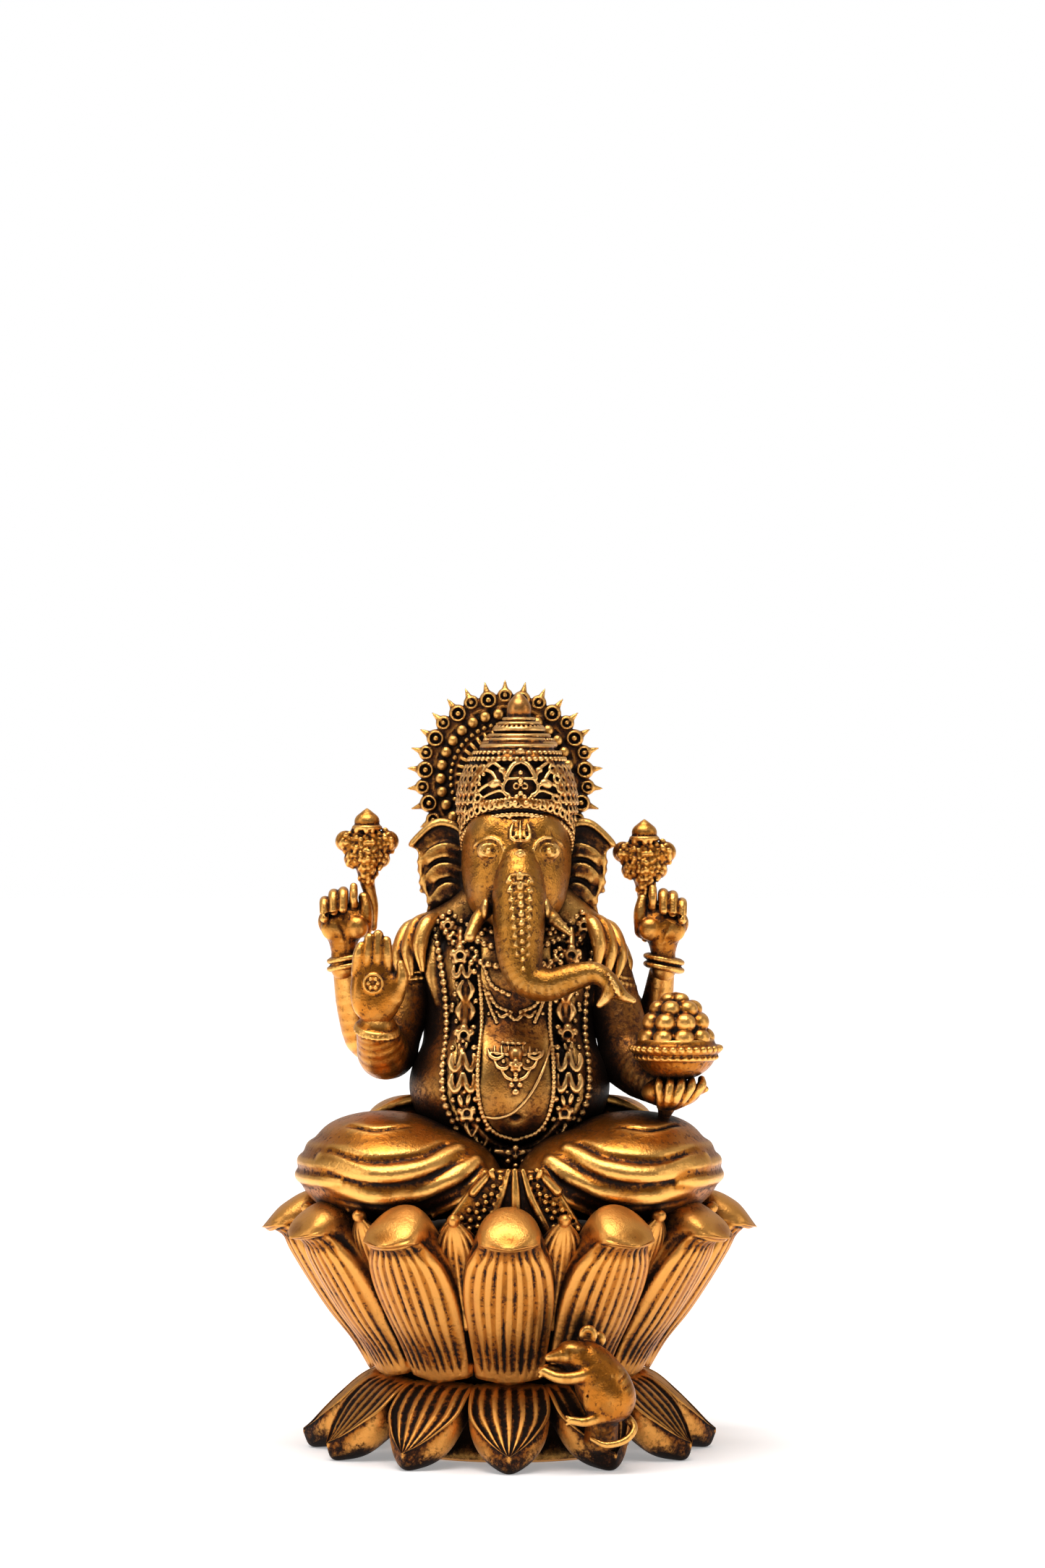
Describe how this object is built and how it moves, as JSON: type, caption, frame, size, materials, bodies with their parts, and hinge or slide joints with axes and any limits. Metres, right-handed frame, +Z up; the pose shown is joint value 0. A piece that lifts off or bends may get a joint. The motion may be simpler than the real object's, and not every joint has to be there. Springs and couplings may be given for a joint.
{
  "type": "seated deity figurine",
  "caption": "Seated elephant-headed deity figurine on a double lotus base, with halo, crown, bowl of sweets and a small mouse, in antique gold.",
  "frame": {"origin": "centre of the flat underside of the lotus core, on the surface the figurine stands on", "axes": "+Z up; the figure faces -Y; +X is the figure's left, on the side of the bowl"},
  "size_m": [0.0628, 0.0628, 0.098],
  "materials": {
    "lotus_gold": "satin metallic gold paint with an orange cast, brown wash left in the petal veins",
    "antique_gold": "satin antique gold paint over cast resin, rubbed bright on high spots and near black in the folds",
    "brassy_gold": "fine-grained brassy gold paint, lightly aged",
    "jewel_gold": "bright gold highlights over a black wash",
    "bronzed_gold": "dark speckled copper-bronze wash over gold"
  },
  "bodies": {
    "root": {"crown": "jewel_gold", "crown_finial": "jewel_gold", "dhoti_back": "antique_gold", "dhoti_pleats": "antique_gold", "garland": "jewel_gold", "halo": "bronzed_gold", "head": "brassy_gold", "inner_petal_ring": "lotus_gold", "left_bud_emblem": "antique_gold", "left_ear": "bronzed_gold", "left_front_arm": "bronzed_gold", "left_front_hand": "antique_gold", "left_leg": "antique_gold", "left_rear_arm": "antique_gold", "left_rear_bangle": "antique_gold", "left_rear_hand": "antique_gold", "left_stole": "antique_gold", "left_tusk": "brassy_gold", "lotus_core": "lotus_gold", "lower_petal_01": "lotus_gold", "lower_petal_02": "lotus_gold", "lower_petal_03": "lotus_gold", "lower_petal_04": "lotus_gold", "lower_petal_05": "lotus_gold", "lower_petal_06": "lotus_gold", "lower_petal_07": "lotus_gold", "lower_petal_08": "lotus_gold", "lower_petal_09": "lotus_gold", "lower_petal_10": "lotus_gold", "lower_petal_11": "lotus_gold", "lower_petal_12": "lotus_gold", "mouse": "antique_gold", "pendant": "jewel_gold", "right_bud_emblem": "antique_gold", "right_ear": "bronzed_gold", "right_front_arm": "antique_gold", "right_front_hand": "antique_gold", "right_leg": "antique_gold", "right_rear_arm": "antique_gold", "right_rear_bangle": "antique_gold", "right_rear_hand": "antique_gold", "right_stole": "antique_gold", "right_tusk": "brassy_gold", "seat_pod": "lotus_gold", "sweet_bowl": "antique_gold", "sweet_heap": "antique_gold", "torso": "bronzed_gold", "trunk": "brassy_gold", "upper_petal_01": "lotus_gold", "upper_petal_02": "lotus_gold", "upper_petal_03": "lotus_gold", "upper_petal_04": "lotus_gold", "upper_petal_05": "lotus_gold", "upper_petal_06": "lotus_gold", "upper_petal_07": "lotus_gold", "upper_petal_08": "lotus_gold", "upper_petal_09": "lotus_gold", "upper_petal_10": "lotus_gold", "upper_petal_11": "lotus_gold", "upper_petal_12": "lotus_gold"}
  },
  "joints": []
}
